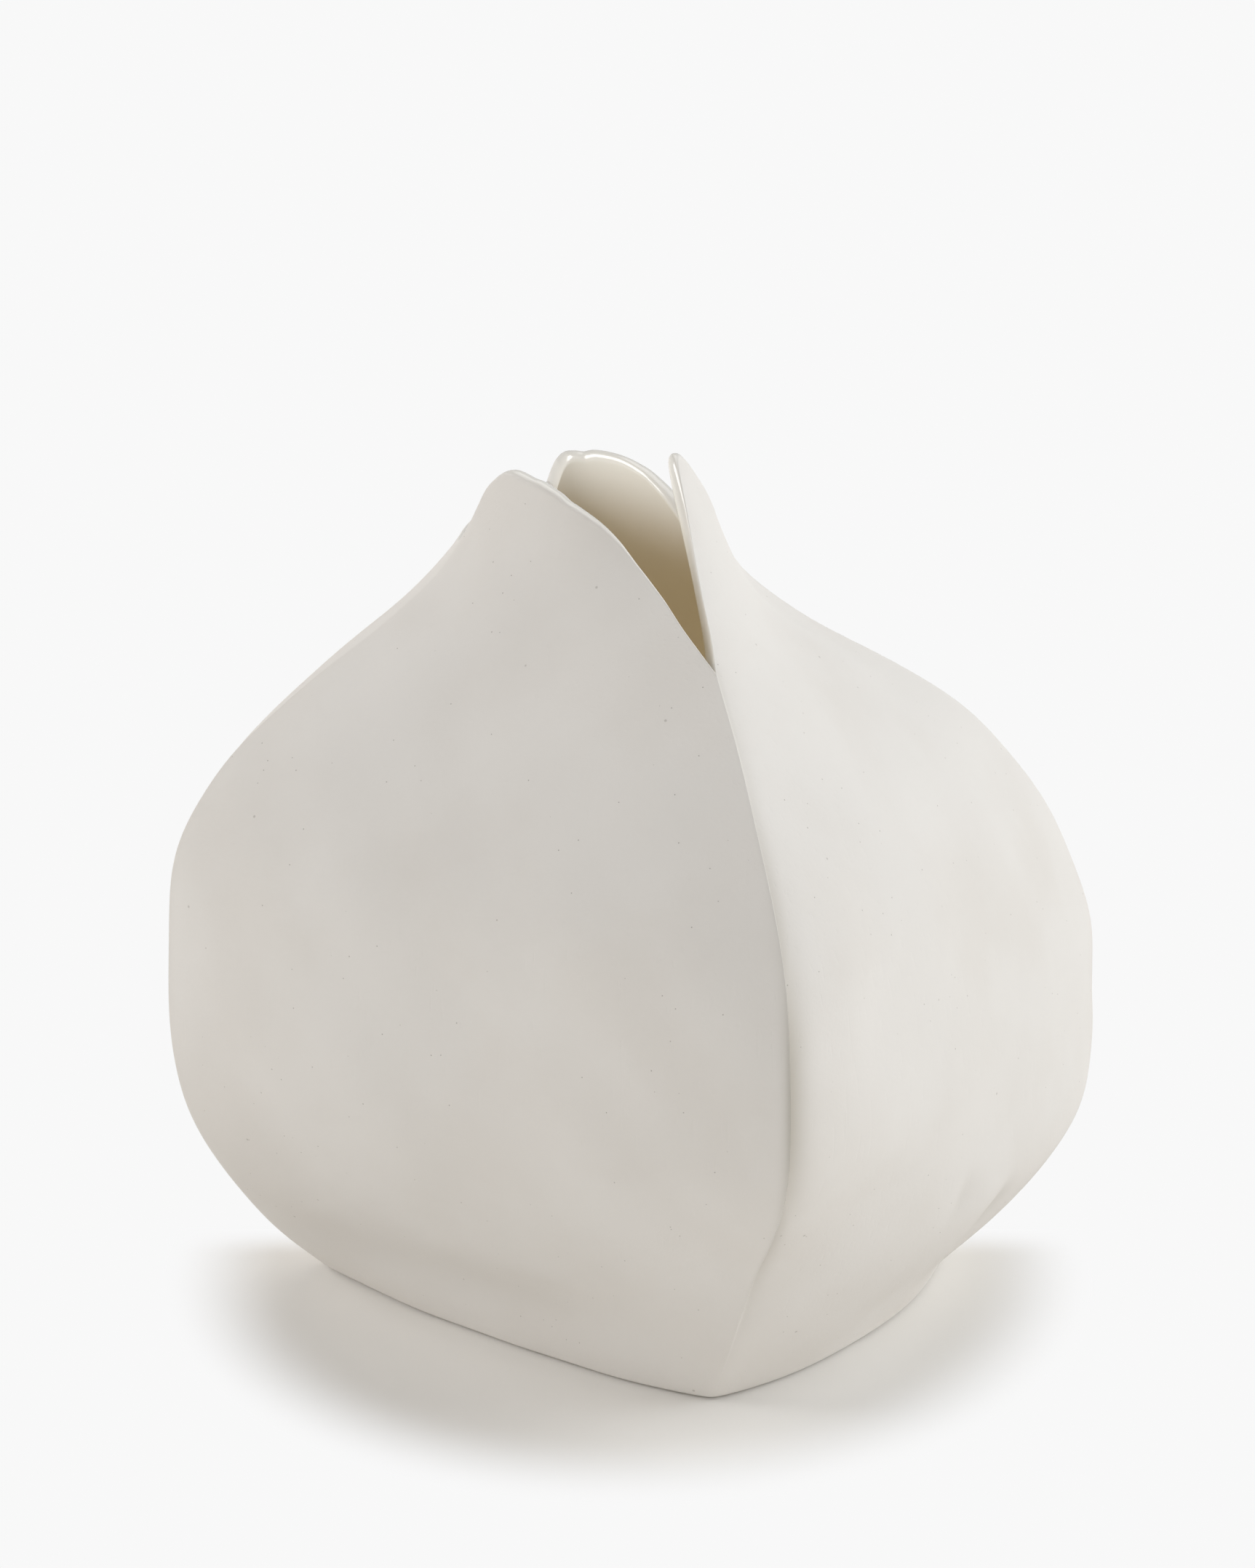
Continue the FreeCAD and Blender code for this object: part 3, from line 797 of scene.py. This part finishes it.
def porcelain_material(name, finishes, glazed):
    """Matt warm-white clay with fine grain, iron specks and painted shade in its creases, and clear
    glaze over it that glows with painted daylight. glazed is a function that takes the material's
    first socket and the height, and gives 1 under glaze."""
    material = bpy.data.materials.new(name)
    material.use_nodes = True
    tree = material.node_tree
    tree.nodes.clear()
    start = Socket(tree)
    place = start.node("ShaderNodeTexCoord", None, None, "Object")
    height = start.node("ShaderNodeSeparateXYZ", None, {"Vector": place}, "Z")
    wet = glazed(start, height)
    patches = noise(place, PATCH_SCALE, PATCH_DETAIL).ramped(*PATCH_EDGES)
    clay = patches.blended(rgba(finishes.bisque), rgba(finishes.bisque_shade))
    fine, coarse = (specks(place, spacing, radius) * darkness for spacing, radius, darkness in SPECKS)
    spots = fine + coarse
    clay = spots.blended(clay, rgba(finishes.speck))
    # Painted shade: the clay darkens towards its shade colour in the creases.
    clay = coat_attribute(start, "painted_crease_shade").blended(clay, rgba(finishes.painted_crease_shade))
    # The glaze colour turns warmer and yellower towards the floor.
    towards_floor = 1 - height.ramped(*WARMER_GLAZE_HEIGHTS)
    glass = towards_floor.blended(rgba(finishes.glaze), rgba(finishes.warmer_low_glaze))
    # Painted light: the glazed inside glows with emission in place of daylight through the petals and light
    # bounced in the mouth.
    daylight = height.ramped(*GLOW_HEIGHTS).blended(rgba(finishes.painted_deep_glow), rgba(finishes.painted_petal_daylight))
    grain = noise(place, GRAIN_SCALE)
    stretched = start.node("ShaderNodeVectorMath", {"operation": "MULTIPLY"}, {0: place, 1: STROKE_STRETCH})
    strokes = noise(stretched, STROKE_SCALE).ramped(*STROKE_EDGES)
    roughened = grain * GRAIN_DEPTH - spots * SPECK_DEPTH - strokes * STROKE_DEPTH
    relief = (1 - wet) * roughened + noise(place, RIPPLE_SCALE) * RIPPLE_DEPTH
    bump_inputs = {"Strength": BUMP_STRENGTH, "Distance": 1.0, "Height": relief}
    shader_inputs = {
        "Base Color": wet.blended(clay, glass),
        "Roughness": CLAY_ROUGHNESS - wet * (CLAY_ROUGHNESS - GLAZE_ROUGHNESS),
        "IOR": PORCELAIN_IOR,
        "Coat Weight": wet,
        "Coat Roughness": COAT_ROUGHNESS,
        "Emission Color": coat_attribute(start, "glow").blended(rgba((0, 0, 0)), daylight),
        "Emission Strength": 1.0,
        "Normal": start.node("ShaderNodeBump", None, bump_inputs, "Normal"),
    }
    shader = start.node("ShaderNodeBsdfPrincipled", None, shader_inputs)
    start.node("ShaderNodeOutputMaterial", None, {"Surface": shader})
    return material


def painted(piece, material):
    piece.data.materials.clear()
    piece.data.materials.append(material)


def coat_attribute(start, coat):
    return start.node("ShaderNodeAttribute", {"attribute_name": coat}, None, "Fac")


def wall_glaze(start, height):
    """The panels and coils are glazed where their coat says so."""
    return coat_attribute(start, "glaze")


def slab_glaze(start, height):
    """The floor slab is glazed on top."""
    return height.ramped(*SLAB_GLAZE_HEIGHTS)


def fitted(piece, replaced):
    """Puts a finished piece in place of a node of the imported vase."""
    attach(piece, "root")
    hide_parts(replaced)


class VASE_OT_panels(bpy.types.Operator):
    """Build the four panels with their petals"""

    bl_idname = "vase.panels"
    bl_label = "Panels"

    def execute(self, context):
        points, normals, coats = VaseShape(context.scene.vase_sizes).ring()
        material = porcelain_material("panel_porcelain", context.scene.vase_finishes, wall_glaze)
        for turn, panel in enumerate(PANEL_SEAMS):
            columns = np.arange(turn * COLUMNS, (turn + 1) * COLUMNS + 1) % len(points)
            panel_coats = {coat: values[columns] for coat, values in coats.items()}
            piece = panel_piece(panel + "_panel_porcelain", points[columns], normals[columns], panel_coats)
            painted(piece, material)
            fitted(piece, panel + "_panel")
        return {"FINISHED"}


class VASE_OT_coils(bpy.types.Operator):
    """Press the coils into the corners and round the floor"""

    bl_idname = "vase.coils"
    bl_label = "Coils"

    def execute(self, context):
        shape = VaseShape(context.scene.vase_sizes)
        coils = {seam + "_seam_coil": shape.seam_coil(seam) for seam in SEAM_ANGLES}
        coils.update({panel + "_base_coil": shape.base_coil(panel) for panel in PANEL_SEAMS})
        for name, sides in coils.items():
            piece = coil_piece(name + "_porcelain", sides)
            painted(piece, bpy.data.materials["panel_porcelain"])
            fitted(piece, name)
        return {"FINISHED"}


class VASE_OT_floor(bpy.types.Operator):
    """Glaze the floor slab"""

    bl_idname = "vase.floor"
    bl_label = "Floor"

    def execute(self, context):
        material = porcelain_material("floor_porcelain", context.scene.vase_finishes, slab_glaze)
        painted(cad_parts["floor_slab"], material)
        return {"FINISHED"}


class VASE_OT_stage(bpy.types.Operator):
    """Set the table, the lights and the camera"""

    bl_idname = "vase.stage"
    bl_label = "Stage"

    def execute(self, context):
        stage = context.scene.vase_stage
        build_table(stage)
        build_world(stage)
        build_lights(stage)
        build_camera()
        context.scene.view_settings.view_transform = "Standard"
        return {"FINISHED"}


def build_table(stage):
    """A flat round table top, wide enough to fill the picture. Past the round reach of the vase's
    shadow, and behind the vase, the camera sees it as plain as the backdrop."""
    angle = np.linspace(0, 2 * np.pi, TABLE_SIDES, endpoint=False)
    level = np.full_like(angle, -TABLE_DROP)
    rim = np.stack([TABLE_RADIUS * np.cos(angle), TABLE_RADIUS * np.sin(angle), level], axis=-1)
    mesh = bpy.data.meshes.new("table_top")
    mesh.from_pydata(rim.tolist(), [], [list(range(len(rim)))])
    table = bpy.data.objects.new("table_top", mesh)
    bpy.context.scene.collection.objects.link(table)
    material = bpy.data.materials.new("table_paper")
    material.use_nodes = True
    tree = material.node_tree
    tree.nodes.clear()
    start = Socket(tree)
    paper_inputs = {
        "Base Color": rgba(stage.table_colour),
        "Roughness": TABLE_ROUGHNESS,
        "Specular IOR Level": TABLE_SHINE,
    }
    paper = start.node("ShaderNodeBsdfPrincipled", None, paper_inputs)
    place = start.node("ShaderNodeTexCoord", None, None, "Object")
    towards_camera = direction(CAMERA_AZIMUTH, 0)
    from_middle = {0: place, 1: towards_camera * stage.shadow_shift}
    away = start.node("ShaderNodeVectorMath", {"operation": "DISTANCE"}, from_middle, "Value")
    along_view = {0: place, 1: towards_camera}
    forward = start.node("ShaderNodeVectorMath", {"operation": "DOT_PRODUCT"}, along_view, "Value")
    half_fade = stage.shadow_fade / 2
    lit = away.ramped(stage.shadow_reach - half_fade, stage.shadow_reach + half_fade)
    shaded = (1 - lit) * forward.ramped(-half_fade / 2, half_fade / 2)
    camera_ray = start.node("ShaderNodeLightPath", None, None, "Is Camera Ray")
    plain = camera_ray * (1 - shaded)
    white = start.node("ShaderNodeEmission", None, {"Color": (1, 1, 1, 1), "Strength": stage.backdrop})
    shader = start.node("ShaderNodeMixShader", None, {0: plain, 1: paper, 2: white})
    start.node("ShaderNodeOutputMaterial", None, {"Surface": shader})
    painted(table, material)


def build_world(stage):
    """Soft light all round, stronger from the sides than from above. The camera sees it at the brightness
    of the backdrop.
    """
    world = bpy.data.worlds.new("soft_room")
    bpy.context.scene.world = world
    world.use_nodes = True
    tree = world.node_tree
    tree.nodes.clear()
    start = Socket(tree)
    camera_ray = start.node("ShaderNodeLightPath", None, None, "Is Camera Ray")
    ray = start.node("ShaderNodeTexCoord", None, None, "Generated")
    climb = start.node("ShaderNodeSeparateXYZ", None, {"Vector": ray}, "Z")
    low = start.node("ShaderNodeBackground", None, {"Color": SKY_COLOUR, "Strength": stage.low_sky})
    high = start.node("ShaderNodeBackground", None, {"Color": SKY_COLOUR, "Strength": stage.high_sky})
    light = start.node("ShaderNodeMixShader", None, {0: climb.ramped(0, HIGH_SKY_RISE), 1: low, 2: high})
    backdrop = start.node("ShaderNodeBackground", None, {"Color": (1, 1, 1, 1), "Strength": stage.backdrop})
    shown = start.node("ShaderNodeMixShader", None, {0: camera_ray, 1: light, 2: backdrop})
    start.node("ShaderNodeOutputWorld", None, {"Surface": shown})


def aimed(thing, position, target):
    thing.location = position
    thing.rotation_mode = "QUATERNION"
    thing.rotation_quaternion = (Vector(target) - Vector(position)).to_track_quat("-Z", "Y")
    bpy.context.scene.collection.objects.link(thing)


def direction(bearing, elevation):
    """Unit vector towards a bearing from the front (-Y) round towards the right (+X), and up."""
    turn = math.radians(bearing)
    climb = math.radians(elevation)
    return Vector((math.sin(turn) * math.cos(climb), -math.cos(turn) * math.cos(climb), math.sin(climb)))


def build_lights(stage):
    """Broad soft lights, as from softboxes far enough away to light the table evenly."""
    for name, bearing, elevation, spread, share, colour in LIGHT_SHARES:
        light = bpy.data.lights.new(name, "SUN")
        light.angle = math.radians(spread)
        light.energy = math.pi * stage.key * share
        light.color = colour
        position = TARGET + direction(CAMERA_AZIMUTH + bearing, elevation)
        aimed(bpy.data.objects.new(name, light), position, TARGET)


def build_camera():
    """The photograph's view: 28 degrees round to the right and 21 degrees up."""
    back = direction(CAMERA_AZIMUTH, CAMERA_ELEVATION)
    camera = bpy.data.cameras.new("photo_camera")
    camera.lens = CAMERA_LENS
    camera.sensor_width = CAMERA_SENSOR
    camera.clip_start = CAMERA_CLIP
    item = bpy.data.objects.new("photo_camera", camera)
    aimed(item, TARGET + back * CAMERA_DISTANCE, TARGET)
    bpy.context.scene.camera = item


class VASE_PT_sidebar(bpy.types.Panel):
    """Lists the vase's sizes, finishes and building steps"""

    bl_idname = "VASE_PT_sidebar"
    bl_label = "Pillow vase"
    bl_space_type = "VIEW_3D"
    bl_region_type = "UI"
    bl_category = "Vase"

    def draw(self, context):
        column = self.layout.column()
        for operator in OPERATORS:
            column.operator(operator.bl_idname)
        for group in (context.scene.vase_sizes, context.scene.vase_finishes, context.scene.vase_stage):
            for name in group.__annotations__:
                column.prop(group, name)


GROUPS = {"vase_sizes": VaseSizes, "vase_finishes": VaseFinishes, "vase_stage": VaseStage}
OPERATORS = [VASE_OT_panels, VASE_OT_coils, VASE_OT_floor, VASE_OT_stage]
CLASSES = [*GROUPS.values(), *OPERATORS, VASE_PT_sidebar]


def register():
    for item in CLASSES:
        bpy.utils.register_class(item)
    for name, group in GROUPS.items():
        setattr(bpy.types.Scene, name, PointerProperty(type=group))


def unregister():
    for name in GROUPS:
        delattr(bpy.types.Scene, name)
    for item in reversed(CLASSES):
        bpy.utils.unregister_class(item)


def main():
    register()
    bpy.ops.vase.panels()
    bpy.ops.vase.coils()
    bpy.ops.vase.floor()
    bpy.ops.vase.stage()


if __name__ == "__main__":
    main()
